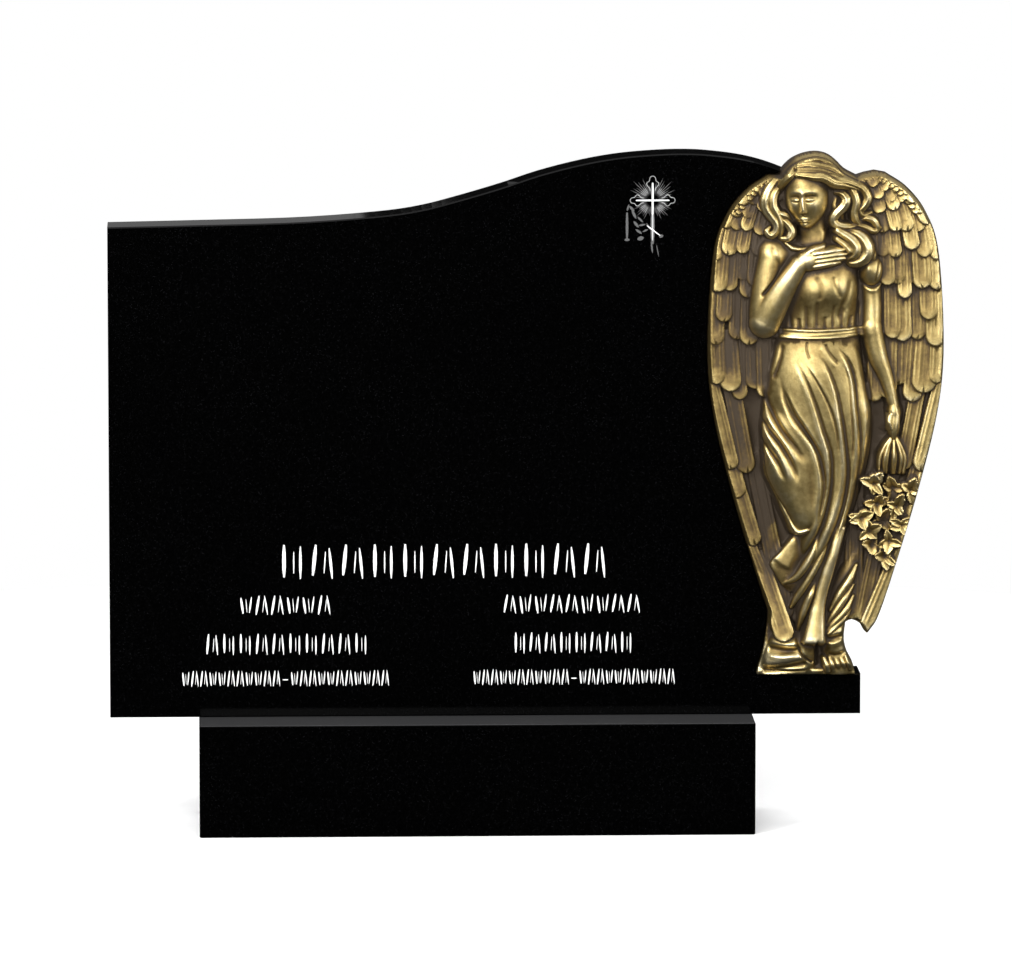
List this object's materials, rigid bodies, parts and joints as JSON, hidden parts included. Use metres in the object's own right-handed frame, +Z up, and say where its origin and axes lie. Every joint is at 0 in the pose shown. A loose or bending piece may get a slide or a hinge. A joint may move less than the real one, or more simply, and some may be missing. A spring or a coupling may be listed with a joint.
{
  "type": "memorial",
  "caption": "Upright memorial of polished black stone: a slab with a wave-shaped top on a long base block, and a bronze relief angel with folded wings at its end.",
  "frame": {"origin": "middle of the base block's underside", "axes": "+Z up, the engraved front faces -Y, the angel stands at the +X end"},
  "size_m": [1.3283, 0.25, 1.0806],
  "materials": {
    "polished_black_stone": "polished black granite with very fine crystals",
    "patinated_bronze": "cast bronze, golden where rubbed and dark brown in the hollows"
  },
  "bodies": {
    "root": {"base_block": "polished_black_stone", "stele": "polished_black_stone", "angel": "patinated_bronze"}
  },
  "joints": []
}
